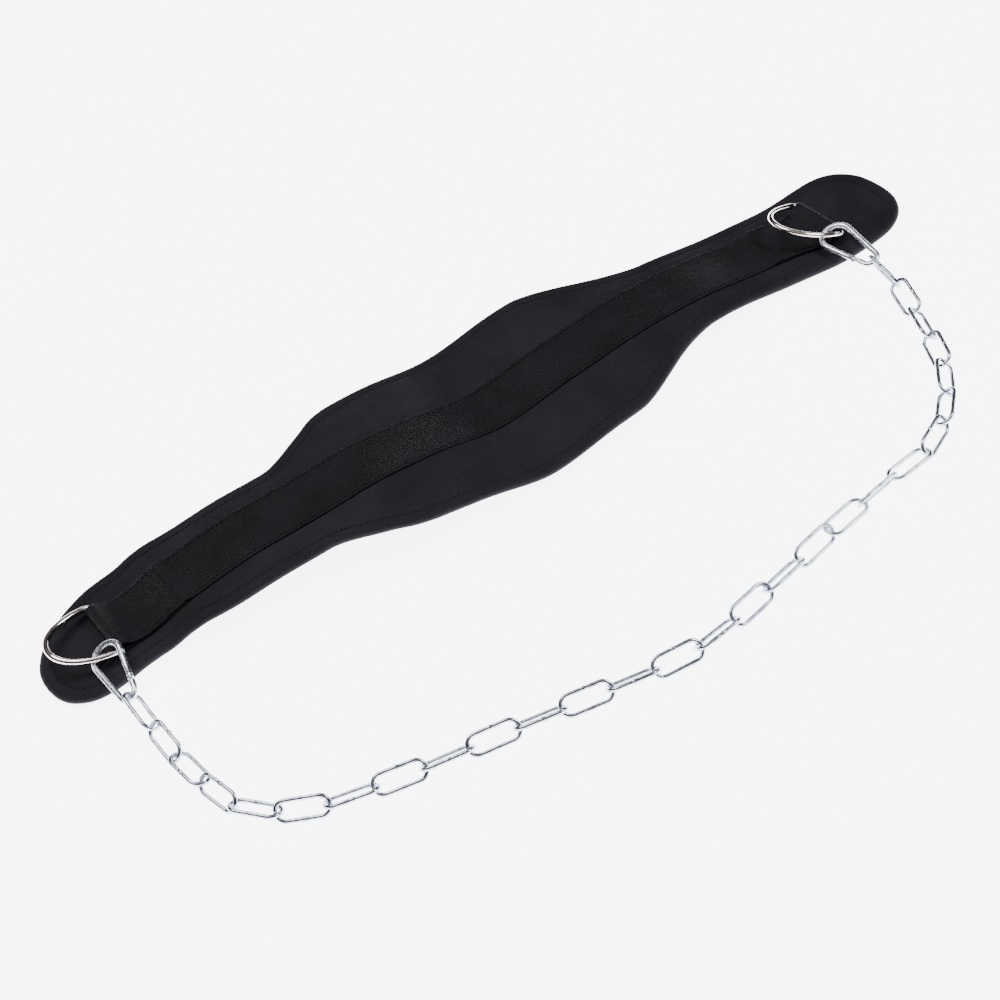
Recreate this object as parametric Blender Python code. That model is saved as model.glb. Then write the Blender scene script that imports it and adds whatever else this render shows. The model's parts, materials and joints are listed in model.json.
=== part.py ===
# Dip belt laid out on a flat surface: padded belt, webbing strap, two D-rings,
# two spring hooks and a chain of long welded links. Metres, +Z up, the belt lies along X.

import bpy
import bmesh
import math
import numpy as np
from mathutils import Euler, Matrix, Vector

# Padded belt
BELT_LENGTH = 0.7455
CENTRE_WIDTH = 0.1765
WAIST_WIDTH = 0.093
END_WIDTH = 0.0975
LEFT_TIP_ROUND = 0.060
RIGHT_TIP_ROUND = 0.050
LEFT_TIP_SQUARENESS = 2.2
RIGHT_TIP_SQUARENESS = 2.55
PAD_THICKNESS = 0.007
PAD_EDGE_THICKNESS = 0.0035
EDGE_ROLL = 0.009
ARCH_HEIGHT = 0.020
BELT_SWAY = 0.020
PAD_OFFSET = 0.0052

# Webbing strap
STRAP_WIDTH = 0.050
STRAP_THICKNESS = 0.0017
TAIL_LENGTH = 0.054
LOOP_HUMP = 0.013
TAIL_STEP = 0.006

# Edge of the pad: how far in the rolled edge is cut into steps, and what of its thinning is underneath
ROLL_STEP = 0.00315
PAD_MIDDLE_SHARE = 0.45
UNDERSIDE_SHARE = 0.3
TIP_ROLL_SHARE = 0.6

# D-rings
RING_WIRE = 0.0045
RING_INNER_WIDTH = 0.052
RING_DEPTH = 0.0428
RING_SQUARENESS = 2.15
RING_INSET = 0.06025
LEFT_RING_TILT = 10.5
RIGHT_RING_TILT = 22.5

# Spring hooks
HOOK_WIRE = 0.0048
HOOK_BIG_RADIUS = 0.0112
HOOK_SMALL_RADIUS = 0.0060
HOOK_SPAN = 0.0365
GATE_WIRE = 0.0046
GATE_LENGTH = 0.0245
GATE_DROP = 0.0030
GATE_TAIL = 0.0016
TONGUE_THICKNESS = 0.0018
TONGUE_WIDTH = 0.0032
TONGUE_REACH = 0.0046
TONGUE_SETBACK = 0.0004
RIVET_DIAMETER = 0.0020
NOSE_TAB_LENGTH = 0.0022
NOSE_TAB_WIDTH = 0.0024

# Chain
LINK_COUNT = 28
LINK_WIRE = 0.0031
LINK_INNER_LENGTH = 0.032
LINK_OUTER_WIDTH = 0.0165
EVEN_LINK_ROLL = 45.0
ODD_LINK_ROLL = -35.0

# Space left between pieces that touch
GAP = 0.0003

# The belt flares out from its waist to its full width, from the left tip to the right one.
CENTRE_FLARE = {
    "along": (-0.90, -0.81, -0.66, -0.52, -0.44, -0.355, -0.265, -0.14,
              0.0, 0.17, 0.22, 0.26, 0.316, 0.39, 0.47, 0.59),
    "share": (0.0, 0.02, 0.08, 0.12, 0.125, 0.425, 0.805, 0.925,
              1.0, 1.0, 0.977, 0.845, 0.59, 0.26, 0.05, 0.0),
}

# The ends swell again from the waist.
END_FLARE = {
    "along": (-0.81, -0.66, -0.45, 0.55, 0.75, 0.85),
    "share": (1.0, 0.6, 0.0, 0.0, 0.7, 1.0),
}

# The middle lines of the pad and of the webbing sway sideways as the belt lies.
SWAY_LINE = {
    "along": (-1.0, -0.95, -0.87, -0.81, -0.75, -0.61, -0.41, -0.21,
              0.0, 0.20, 0.385, 0.58, 0.70, 0.80, 0.87, 1.0),
    "pad": (0.255, 0.325, 0.715, 0.985, 0.95, 0.50, 0.31, 0.365,
            0.285, 0.31, 0.275, 0.165, 0.0, -0.185, -0.135, 0.04),
    "strap": (0.70, 0.70, 0.70, 0.70, 0.715, 0.605, 0.43, 0.45,
              0.34, 0.30, 0.375, 0.25, 0.07, -0.30, -0.30, -0.30),
}

# Height of the belt over the surface, from the left tip to the right one.
BELT_WAVE = {
    "along": (-1.0, -0.955, -0.91, -0.80, -0.70, -0.51, -0.32, -0.16,
              0.0, 0.16, 0.32, 0.49, 0.65, 0.78, 1.0),
    "height": (0.0, 0.10, 0.15, 0.15, 0.60, 1.0, 1.0, 0.70,
               0.18, 0.48, 0.60, 0.48, 0.12, 0.0, 0.0),
}

# How each hook hangs on its ring: place round the ring's bow, direction of the ring's wire
# from the middle of the hook's wide end, slack between the wires, and turn about X, Y and Z.
LEFT_HANG = {"bow": -72.8, "direction": 119.9, "slack": 0.00303, "turn": (4.3, -25.8, -6.3)}
RIGHT_HANG = {"bow": -76.4, "direction": 78.4, "slack": 0.0019, "turn": (3.1, -16.0, -1.2)}

# Chosen points of the chain's route, from the left hook to the right one.
CHAIN_ROUTE = (
    (-0.3275, -0.0880, 0.0090),
    (-0.3265, -0.1200, 0.0068),
    (-0.3235, -0.1510, 0.0070),
    (-0.3175, -0.1810, 0.0072),
    (-0.3010, -0.2045, 0.0072),
    (-0.2760, -0.2215, 0.0070),
    (-0.2155, -0.2400, 0.0066),
    (-0.1525, -0.2550, 0.0066),
    (-0.0915, -0.2710, 0.0066),
    (-0.0295, -0.2840, 0.0066),
    (0.0355, -0.2760, 0.0066),
    (0.0995, -0.2650, 0.0074),
    (0.1605, -0.2570, 0.0076),
    (0.1915, -0.2545, 0.0076),
    (0.2195, -0.2415, 0.0074),
    (0.2435, -0.2190, 0.0066),
    (0.2640, -0.1930, 0.0066),
    (0.2775, -0.1635, 0.0066),
    (0.2900, -0.1330, 0.0074),
    (0.2985, -0.1080, 0.0105),
)

# Links that lie turned otherwise than their even or odd neighbours, in degrees.
TURNED_LINKS = {
    1: -45.0, 3: -20.0, 4: 52.0, 5: -22.0, 6: 54.0, 7: -28.0,
    18: 58.0, 19: 4.0, 20: -62.0, 21: -11.0, 22: 62.0, 28: 70.0,
}

# How finely curved shapes are divided
BELT_STEPS = 50
TIP_STEPS = 7
TIP_LAST_ANGLE = 86.0
TAIL_STEPS = 7
TURN_STEPS = 8
HUMP_STEPS = 5
LAP_STEPS = 4
STRAP_STEPS = 40
RING_POINTS = 30
WIDE_ARC_POINTS = 14
NARROW_ARC_POINTS = 10
LINK_END_POINTS = 7
DISC_SIDES = 12
ROUTE_STEPS = 24
SEARCH_STEPS = 50

# Tool sizes: a cut that goes right through, a step that keeps faces apart, welding and smooth shading
THROUGH_CUT = 0.014
FACE_STEP = 0.00002
WELD_DISTANCE = 0.00001
FINE_WELD_DISTANCE = 0.000002
SMOOTH_ANGLE = 45.0

BLACK_FOAM = ((0.013, 0.012, 0.017, 1.0), 0.85, 0.0)
BLACK_WEBBING = ((0.010, 0.012, 0.014, 1.0), 0.92, 0.0)
NICKEL = ((0.74, 0.70, 0.68, 1.0), 0.22, 1.0)
ZINC = ((0.72, 0.75, 0.80, 1.0), 0.28, 1.0)


def smooth_read(columns, value_name, position):
    """Read a table on a smooth curve that never overshoots its rows."""
    x = np.array(columns["along"])
    y = np.array(columns[value_name])
    slope = np.diff(y) / np.diff(x)
    inner = np.where(slope[:-1] * slope[1:] > 0.0, 2.0 * slope[:-1] * slope[1:]
                     / np.where(slope[:-1] + slope[1:] == 0.0, 1.0, slope[:-1] + slope[1:]), 0.0)
    tangent = np.concatenate(([0.0], inner, [0.0]))
    p = np.clip(np.asarray(position, dtype=float), x[0], x[-1])
    row = np.clip(np.searchsorted(x, p, side="right") - 1, 0, len(x) - 2)
    width = x[row + 1] - x[row]
    t = (p - x[row]) / width
    return (y[row] * (2 * t ** 3 - 3 * t ** 2 + 1)
            + tangent[row] * width * (t ** 3 - 2 * t ** 2 + t)
            + y[row + 1] * (3 * t ** 2 - 2 * t ** 3)
            + tangent[row + 1] * width * (t ** 3 - t ** 2))


def along_share(x):
    """Place along the pad, from -1 at its left tip to 1 at its right one."""
    return (np.asarray(x) - PAD_OFFSET) / (BELT_LENGTH / 2)


def belt_height(x):
    """Height of the belt's underside at x."""
    return ARCH_HEIGHT * smooth_read(BELT_WAVE, "height", along_share(x))


def pad_top(x):
    return belt_height(x) + PAD_THICKNESS


def belt_sway(x, layer):
    """Sideways offset at x of the middle line of the pad or the strap."""
    return BELT_SWAY * smooth_read(SWAY_LINE, layer, along_share(x))


def half_width(x):
    s = along_share(x)
    flare = (CENTRE_WIDTH - WAIST_WIDTH) / 2 * smooth_read(CENTRE_FLARE, "share", s)
    swell = (END_WIDTH - WAIST_WIDTH) / 2 * smooth_read(END_FLARE, "share", s)
    return WAIST_WIDTH / 2 + flare + swell


def tip_stations(start, side, length, squareness):
    """Positions and half widths round one tip, from where it starts to narrow."""
    angle = np.linspace(0.0, math.radians(TIP_LAST_ANGLE), TIP_STEPS + 1)[1:]
    power = 2.0 / squareness
    x = start + side * length * np.sin(angle) ** power
    return x, half_width(x) * np.cos(angle) ** power


def belt_stations():
    """Positions along the belt with the half width there, rounded off at both tips."""
    left = PAD_OFFSET - BELT_LENGTH / 2 + LEFT_TIP_ROUND
    right = PAD_OFFSET + BELT_LENGTH / 2 - RIGHT_TIP_ROUND
    left_x, left_width = tip_stations(left, -1, LEFT_TIP_ROUND, LEFT_TIP_SQUARENESS)
    right_x, right_width = tip_stations(right, 1, RIGHT_TIP_ROUND, RIGHT_TIP_SQUARENESS)
    x = np.linspace(left, right, BELT_STEPS + 1)
    all_x = np.concatenate((left_x[::-1], x, right_x))
    all_width = np.concatenate((left_width[::-1], half_width(x), right_width))
    return all_x, all_width


def make_material(name, finish):
    colour, roughness, metallic = finish
    material = bpy.data.materials.new(name)
    material.use_nodes = True
    shader = material.node_tree.nodes["Principled BSDF"]
    shader.inputs["Base Color"].default_value = colour
    shader.inputs["Roughness"].default_value = roughness
    shader.inputs["Metallic"].default_value = metallic
    return material


def add_mesh_object(name, mesh, material, collection):
    mesh.materials.clear()
    mesh.materials.append(material)
    piece = bpy.data.objects.new(name, mesh)
    collection.objects.link(piece)
    return piece


def shade(mesh):
    """Smooth shading that keeps edges sharper than the smooth angle."""
    mesh.shade_smooth()
    mesh.set_sharp_from_angle(angle=math.radians(SMOOTH_ANGLE))


def loft(name, loops):
    """Closed mesh through a row of closed loops with equal point counts, capped at both ends."""
    count, size = loops.shape[:2]
    index = np.arange(count * size).reshape(count, size)
    after = np.roll(index, -1, axis=1)
    walls = np.stack((index[:-1], after[:-1], after[1:], index[1:]), axis=-1).reshape(-1, 4)
    faces = walls.tolist() + [index[0, ::-1].tolist(), index[-1].tolist()]
    mesh = bpy.data.meshes.new(name)
    mesh.from_pydata(loops.reshape(-1, 3).tolist(), [], faces)
    shape = bmesh.new()
    shape.from_mesh(mesh)
    bmesh.ops.recalc_face_normals(shape, faces=shape.faces)
    shape.to_mesh(mesh)
    shape.free()
    shade(mesh)
    return mesh


def make_pad(material, collection):
    """Padded belt: one closed loop of section points at each station, thinner at its rolled edge."""
    x, width = belt_stations()
    roll = np.minimum(EDGE_ROLL, TIP_ROLL_SHARE * width)
    step = roll * ROLL_STEP / EDGE_ROLL
    middle = PAD_MIDDLE_SHARE * width
    right_half = np.stack((middle, width - roll, width - step, width), axis=1)
    across = np.concatenate((-right_half[:, ::-1], right_half), axis=1)
    tip_distance = (BELT_LENGTH / 2 - np.abs(x - PAD_OFFSET))[:, None] / EDGE_ROLL
    side_distance = (width[:, None] - np.abs(across)) / EDGE_ROLL
    t = np.clip(np.minimum(side_distance, tip_distance), 0.0, 1.0)
    thickness = PAD_EDGE_THICKNESS + (PAD_THICKNESS - PAD_EDGE_THICKNESS) * np.sin(t * math.pi / 2)
    underside = (PAD_THICKNESS - thickness) * UNDERSIDE_SHARE
    base = belt_height(x)[:, None]
    y = across + belt_sway(x, "pad")[:, None]
    along = np.repeat(x[:, None], across.shape[1], axis=1)
    lower = np.stack((along, y, base + underside), axis=-1)
    upper = np.stack((along, y, base + underside + thickness), axis=-1)
    loops = np.concatenate((lower, upper[:, ::-1]), axis=1)
    return add_mesh_object("belt_pad", loft("belt_pad", loops), material, collection)


def bar_position():
    return BELT_LENGTH / 2 - RING_INSET


def bar_height():
    """Height of a ring's bar over the pad: one layer of webbing lies under it."""
    return GAP + STRAP_THICKNESS + GAP + RING_WIRE / 2


def strap_end_path():
    """Middle line of the webbing at the right end, as distance along and height over the pad."""
    lower = GAP + STRAP_THICKNESS / 2
    upper = lower + STRAP_THICKNESS + GAP
    bar = bar_position()
    turn_radius = RING_WIRE / 2 + GAP + STRAP_THICKNESS / 2
    tail_start = bar - TAIL_LENGTH
    tail = [(x, lower) for x in np.linspace(tail_start, bar, TAIL_STEPS + 1)[:-1]]
    angles = np.radians(np.linspace(-90.0, 90.0, TURN_STEPS + 1))
    turn = [(bar + turn_radius * math.cos(a), bar_height() + turn_radius * math.sin(a)) for a in angles]
    hump_top = bar_height() + turn_radius
    hump = []
    for t in np.linspace(0.0, 1.0, HUMP_STEPS + 1)[1:]:
        fall = (1.0 - math.cos(math.pi * t)) / 2
        hump.append((bar - LOOP_HUMP * t, hump_top + (upper - hump_top) * fall))
    over = [(x, upper) for x in np.linspace(bar - LOOP_HUMP, tail_start - GAP, LAP_STEPS + 1)[1:]]
    step = [(tail_start - GAP - TAIL_STEP, lower)]
    return tail + turn + hump + over + step


def make_strap(material, collection):
    """Webbing: one ribbon, looped round both bars with its tails turned under."""
    end = np.array(strap_end_path())
    middle_end = end[-1, 0]
    middle_x = np.linspace(middle_end, -middle_end, STRAP_STEPS + 1)[1:-1]
    middle = np.stack((middle_x, np.full(len(middle_x), end[-1, 1])), axis=1)
    mirrored = end[::-1] * np.array((-1.0, 1.0))
    path = np.concatenate((end, middle, mirrored))
    stations = belt_stations()[0]
    pad_height = np.interp(path[:, 0], stations, pad_top(stations))
    place = np.stack((path[:, 0], pad_height + path[:, 1]), axis=1)
    ahead = np.gradient(place, axis=0)
    ahead /= np.linalg.norm(ahead, axis=1)[:, None]
    normal = np.stack((-ahead[:, 1], ahead[:, 0]), axis=1)
    outer = place + normal * STRAP_THICKNESS / 2
    inner = place - normal * STRAP_THICKNESS / 2
    sway = belt_sway(path[:, 0], "strap")
    half = STRAP_WIDTH / 2
    corners = []
    for side, edge in ((outer, -half), (outer, half), (inner, half), (inner, -half)):
        corners.append(np.stack((side[:, 0], sway + edge, side[:, 1]), axis=1))
    loops = np.stack(corners, axis=1)
    return add_mesh_object("webbing_strap", loft("webbing_strap", loops), material, collection)


def wire_mesh(name, points, diameter, closed, resolution):
    """Mesh of a round wire along points, welded at its caps."""
    curve = bpy.data.curves.new(name + "_path", "CURVE")
    curve.dimensions = "3D"
    curve.bevel_depth = diameter / 2
    curve.bevel_resolution = resolution
    curve.use_fill_caps = not closed
    spline = curve.splines.new("POLY")
    spline.points.add(len(points) - 1)
    for target, point in zip(spline.points, points):
        target.co = (*point, 1.0)
    spline.use_cyclic_u = closed
    guide = bpy.data.objects.new(name + "_path", curve)
    bpy.context.scene.collection.objects.link(guide)
    evaluated = guide.evaluated_get(bpy.context.evaluated_depsgraph_get())
    mesh = bpy.data.meshes.new_from_object(evaluated)
    mesh.name = name
    bpy.data.objects.remove(guide)
    bpy.data.curves.remove(curve)
    shape = bmesh.new()
    shape.from_mesh(mesh)
    bmesh.ops.remove_doubles(shape, verts=shape.verts, dist=WELD_DISTANCE)
    bmesh.ops.recalc_face_normals(shape, faces=shape.faces)
    shape.to_mesh(mesh)
    shape.free()
    shade(mesh)
    return mesh


def bow_point(angle):
    """Point on the D-ring's bow, which reaches from the bar's ends towards -X."""
    reach = RING_INNER_WIDTH / 2 + RING_WIRE / 2
    power = 2.0 / RING_SQUARENESS
    x = -RING_DEPTH * max(math.cos(angle), 0.0) ** power
    y = reach * math.copysign(abs(math.sin(angle)) ** power, math.sin(angle))
    return x, y, 0.0


def ring_points():
    """D-ring's wire: the bow and a straight bar along Y."""
    bow = [bow_point(a) for a in np.linspace(-math.pi / 2, math.pi / 2, RING_POINTS - 1)]
    return bow + [(0.0, 0.0, 0.0)]


def ring_matrix(side, tilt):
    x = side * bar_position()
    place = Vector((x, float(belt_sway(x, "strap")), float(pad_top(x)) + bar_height()))
    return Matrix.Translation(place) @ Matrix.Rotation(math.radians(tilt), 4, "Y")


def make_ring(name, mesh, matrix, material, collection):
    ring = add_mesh_object(name, mesh, material, collection)
    ring.matrix_world = matrix
    return ring


def hook_side_angle():
    return math.asin((HOOK_BIG_RADIUS - HOOK_SMALL_RADIUS) / HOOK_SPAN)


def gate_line():
    """Start, end and direction of the straight side that the gate closes."""
    lean = hook_side_angle()
    start = Vector((HOOK_BIG_RADIUS * math.cos(lean), -HOOK_BIG_RADIUS * math.sin(lean), 0.0))
    end = Vector((HOOK_SMALL_RADIUS * math.cos(lean), -HOOK_SPAN - HOOK_SMALL_RADIUS * math.sin(lean), 0.0))
    ahead = (end - start).normalized()
    return start + ahead * GATE_DROP, end, ahead


def arc_points(centre_y, radius, first, last, count):
    angles = np.radians(np.linspace(first, last, count))
    return [(radius * math.cos(a), centre_y + radius * math.sin(a), 0.0) for a in angles]


def hook_body_points():
    """Bent wire of a hook from its nose, round the wide end, down the spine and up to the hinge."""
    nose, end, ahead = gate_line()
    lean = math.degrees(hook_side_angle())
    hinge = nose + ahead * GATE_LENGTH
    wide = arc_points(0.0, HOOK_BIG_RADIUS, -lean, 180.0 + lean, WIDE_ARC_POINTS)
    narrow = arc_points(-HOOK_SPAN, HOOK_SMALL_RADIUS, 180.0 + lean, 360.0 - lean, NARROW_ARC_POINTS)
    wire_end = hinge + ahead * (math.hypot(GATE_WIRE / 2, GATE_TAIL) + GAP)
    return [tuple(nose)] + wide + narrow + [tuple(wire_end)]


def hinge_point():
    nose, end, ahead = gate_line()
    return nose + ahead * GATE_LENGTH


def box_mesh(name, centre, size, turn):
    shape = bmesh.new()
    bmesh.ops.create_cube(shape, size=1.0)
    place = Matrix.Translation(centre) @ turn @ Matrix.Diagonal((*size, 1.0))
    bmesh.ops.transform(shape, matrix=place, verts=shape.verts)
    mesh = bpy.data.meshes.new(name)
    shape.to_mesh(mesh)
    shape.free()
    return mesh


def disc_mesh(name, centre, radius, height):
    shape = bmesh.new()
    bmesh.ops.create_cone(shape, cap_ends=True, segments=DISC_SIDES, radius1=radius, radius2=radius,
                          depth=height, matrix=Matrix.Translation(centre))
    mesh = bpy.data.meshes.new(name)
    shape.to_mesh(mesh)
    shape.free()
    return mesh


def combine(name, base, steps):
    """Mesh of base after a row of Boolean steps, each an operation and a mesh."""
    scene = bpy.context.scene.collection
    worker = bpy.data.objects.new(name + "_work", base)
    scene.objects.link(worker)
    helpers = []
    for number, (operation, mesh) in enumerate(steps):
        helper = bpy.data.objects.new(name + "_tool_" + str(number), mesh)
        scene.objects.link(helper)
        helpers.append(helper)
        cut = worker.modifiers.new("step_" + str(number), "BOOLEAN")
        cut.operation = operation
        cut.solver = "EXACT"
        cut.object = helper
    evaluated = worker.evaluated_get(bpy.context.evaluated_depsgraph_get())
    result = bpy.data.meshes.new_from_object(evaluated)
    result.name = name
    for used in [worker] + helpers:
        bpy.data.objects.remove(used)
    shape = bmesh.new()
    shape.from_mesh(result)
    bmesh.ops.remove_doubles(shape, verts=shape.verts, dist=FINE_WELD_DISTANCE)
    bmesh.ops.dissolve_degenerate(shape, edges=shape.edges, dist=FINE_WELD_DISTANCE)
    shape.to_mesh(result)
    shape.free()
    shade(result)
    return result


def side_turn():
    """Turn that lays a box's Y along the gate's side."""
    nose, end, ahead = gate_line()
    return Matrix.Rotation(math.atan2(-ahead.x, ahead.y), 4, "Z")


def make_hook_body_mesh():
    """Hook's wire with the tab on its nose, the hinge's tongue and the rivet."""
    nose, end, ahead = gate_line()
    hinge = hinge_point()
    wire = wire_mesh("hook_wire", hook_body_points(), HOOK_WIRE, False, 2)
    turn = side_turn()
    tab_depth = NOSE_TAB_LENGTH * 2
    tab = box_mesh("nose_tab", nose, (NOSE_TAB_WIDTH, tab_depth, TONGUE_THICKNESS), turn)
    arm_centre = hinge + ahead * TONGUE_REACH / 2
    arm = box_mesh("tongue_arm", arm_centre, (TONGUE_WIDTH, TONGUE_REACH, TONGUE_THICKNESS), turn)
    eye = disc_mesh("tongue_eye", hinge, tongue_radius(), TONGUE_THICKNESS - FACE_STEP * 2)
    rivet = disc_mesh("rivet", hinge, RIVET_DIAMETER / 2, GATE_WIRE + GAP * 2)
    steps = [("UNION", tab), ("UNION", arm), ("UNION", eye), ("UNION", rivet)]
    return combine("hook_body", wire, steps)


def tongue_radius():
    return GATE_WIRE / 2 - TONGUE_SETBACK


def make_gate_mesh():
    """Straight gate with a slot for the nose's tab and a fork for the hinge's tongue."""
    nose, end, ahead = gate_line()
    hinge = hinge_point()
    turn = side_turn()
    first = nose + ahead * GAP
    last = hinge + ahead * GATE_TAIL
    points = [tuple(first.lerp(last, t)) for t in (0.0, 1 / 3, 2 / 3, 1.0)]
    bar = wire_mesh("gate_bar", points, GATE_WIRE, False, 2)
    slot = TONGUE_THICKNESS + GAP * 2
    nose_slot_depth = (NOSE_TAB_LENGTH + GAP * 2) * 2
    nose_slot = box_mesh("nose_slot", nose, (THROUGH_CUT, nose_slot_depth, slot), turn)
    fork_front = tongue_radius() + GAP * 2
    fork_back = GATE_TAIL + GAP
    fork_centre = hinge + ahead * (fork_back - fork_front) / 2
    fork_slot = box_mesh("fork_slot", fork_centre, (THROUGH_CUT, fork_front + fork_back, slot), turn)
    hole = disc_mesh("rivet_hole", hinge, RIVET_DIAMETER / 2 + GAP, THROUGH_CUT)
    steps = [("DIFFERENCE", nose_slot), ("DIFFERENCE", fork_slot), ("DIFFERENCE", hole)]
    mesh = combine("hook_gate", bar, steps)
    mesh.transform(Matrix.Translation(-hinge))
    return mesh


def hook_matrix(hang, ring, flipped):
    """Place and turn of a hook that hangs on a ring's bow by its wide end."""
    rotation = Euler([math.radians(a) for a in hang["turn"]], "XYZ").to_matrix().to_4x4()
    if flipped:
        rotation = rotation @ Matrix.Rotation(math.pi, 4, "Y")
    reach = HOOK_BIG_RADIUS - (HOOK_WIRE + RING_WIRE) / 2 - hang["slack"]
    direction = math.radians(hang["direction"])
    inside = Vector((math.cos(direction), math.sin(direction), 0.0)) * reach
    hanging = ring @ Vector(bow_point(math.radians(hang["bow"])))
    return Matrix.Translation(hanging - rotation @ inside) @ rotation


def make_hook(side, matrix, body_mesh, gate_mesh, material, collection):
    body = add_mesh_object("hook_" + side, body_mesh, material, collection)
    body.matrix_world = matrix
    gate = add_mesh_object("hook_" + side + "_gate", gate_mesh, material, collection)
    gate.matrix_world = matrix @ Matrix.Translation(hinge_point())
    return body, gate


def hook_eye(matrix):
    """Point between a hook's narrow end and the link that it holds."""
    inward = HOOK_WIRE / 2 + GAP / 2
    return matrix @ Vector((0.0, -HOOK_SPAN - HOOK_SMALL_RADIUS + inward, 0.0))


def smooth_route(points):
    """Dense points on a smooth curve through the chosen points."""
    p = np.array(points)
    ends = np.concatenate(([2 * p[0] - p[1]], p, [2 * p[-1] - p[-2]]))
    t = np.linspace(0.0, 1.0, ROUTE_STEPS, endpoint=False)[:, None]
    pieces = []
    for a, b, c, d in zip(ends[:-3], ends[1:-2], ends[2:-1], ends[3:]):
        pieces.append(0.5 * (2 * b + (c - a) * t + (2 * a - 5 * b + 4 * c - d) * t ** 2
                             + (3 * b - a - 3 * c + d) * t ** 3))
    return np.concatenate(pieces + [p[-1:]])


def walk_route(route, step):
    """Joints one straight step apart along the route, and what is left over at its end."""
    joints = [route[0]]
    index = 0
    while len(joints) < LINK_COUNT:
        far = np.linalg.norm(route[index:] - joints[-1], axis=1)
        beyond = np.nonzero(far >= step)[0]
        if len(beyond) == 0:
            return joints, -1.0
        index += int(beyond[0])
        inside, outside = route[index - 1], route[index]
        near = np.linalg.norm(inside - joints[-1])
        away = np.linalg.norm(outside - joints[-1])
        joints.append(inside + (outside - inside) * (step - near) / (away - near))
    return joints, float(np.linalg.norm(route[-1] - joints[-1]) - step)


def chain_joints(start, finish):
    """Points where links meet, evenly spaced so that the last link ends in the right hook."""
    route = smooth_route([tuple(start)] + list(CHAIN_ROUTE) + [tuple(finish)])
    low, high = 0.0, LINK_INNER_LENGTH * 2
    for _ in range(SEARCH_STEPS):
        step = (low + high) / 2
        joints, spare = walk_route(route, step)
        if spare > 0.0:
            low = step
        else:
            high = step
    joints, spare = walk_route(route, low)
    return [Vector(j) for j in joints] + [Vector(finish)]


def link_points():
    """Long oval link: two half rounds joined by straight sides."""
    radius = (LINK_OUTER_WIDTH - LINK_WIRE) / 2
    half = (LINK_INNER_LENGTH + LINK_WIRE) / 2 - radius
    points = []
    for centre, first in ((half, -90.0), (-half, 90.0)):
        for a in np.radians(np.linspace(first, first + 180.0, LINK_END_POINTS)):
            points.append((centre + radius * math.cos(a), radius * math.sin(a), 0.0))
    return points


def make_chain(joints, material, collection):
    mesh = wire_mesh("chain_link", link_points(), LINK_WIRE, True, 1)
    links = []
    for number in range(1, LINK_COUNT + 1):
        start, end = joints[number - 1], joints[number]
        ahead = (end - start).normalized()
        side = ahead.cross(Vector((0.0, 0.0, 1.0))).normalized()
        up = side.cross(ahead)
        usual_roll = EVEN_LINK_ROLL if number % 2 == 0 else ODD_LINK_ROLL
        roll = math.radians(TURNED_LINKS.get(number, usual_roll))
        normal = up * math.cos(roll) + side * math.sin(roll)
        across = normal.cross(ahead)
        turn = Matrix((ahead, across, normal)).transposed().to_4x4()
        link = add_mesh_object("link_" + str(number).zfill(2), mesh, material, collection)
        link.matrix_world = Matrix.Translation((start + end) / 2) @ turn
        links.append(link)
    return links


def centre_on_base(pieces):
    """Move all pieces so that the origin is under the middle of the whole object."""
    bpy.context.view_layer.update()
    depsgraph = bpy.context.evaluated_depsgraph_get()
    low, high = Vector((math.inf,) * 3), Vector((-math.inf,) * 3)
    for piece in pieces:
        shape = piece.evaluated_get(depsgraph)
        for vertex in shape.data.vertices:
            point = shape.matrix_world @ vertex.co
            low = Vector(map(min, low, point))
            high = Vector(map(max, high, point))
    shift = Vector((-(low.x + high.x) / 2, -(low.y + high.y) / 2, -low.z))
    for piece in pieces:
        piece.matrix_world = Matrix.Translation(shift) @ piece.matrix_world
    return shift


def build():
    for old in list(bpy.data.objects):
        bpy.data.objects.remove(old)
    collection = bpy.data.collections.new("dip_belt")
    bpy.context.scene.collection.children.link(collection)
    foam = make_material("black_foam", BLACK_FOAM)
    webbing = make_material("black_webbing", BLACK_WEBBING)
    nickel = make_material("nickel_wire", NICKEL)
    zinc = make_material("zinc_wire", ZINC)

    pieces = [make_pad(foam, collection), make_strap(webbing, collection)]

    ring_mesh = wire_mesh("d_ring", ring_points(), RING_WIRE, True, 2)
    left_ring = ring_matrix(-1, LEFT_RING_TILT)
    right_ring = ring_matrix(1, RIGHT_RING_TILT)
    pieces.append(make_ring("d_ring_left", ring_mesh, left_ring, nickel, collection))
    pieces.append(make_ring("d_ring_right", ring_mesh, right_ring, nickel, collection))

    body_mesh = make_hook_body_mesh()
    gate_mesh = make_gate_mesh()
    left = hook_matrix(LEFT_HANG, left_ring, False)
    right = hook_matrix(RIGHT_HANG, right_ring, True)
    pieces.extend(make_hook("left", left, body_mesh, gate_mesh, zinc, collection))
    pieces.extend(make_hook("right", right, body_mesh, gate_mesh, zinc, collection))

    joints = chain_joints(hook_eye(left), hook_eye(right))
    pieces.extend(make_chain(joints, zinc, collection))
    centre_on_base(pieces)


build()
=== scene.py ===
import json
import math

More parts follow.
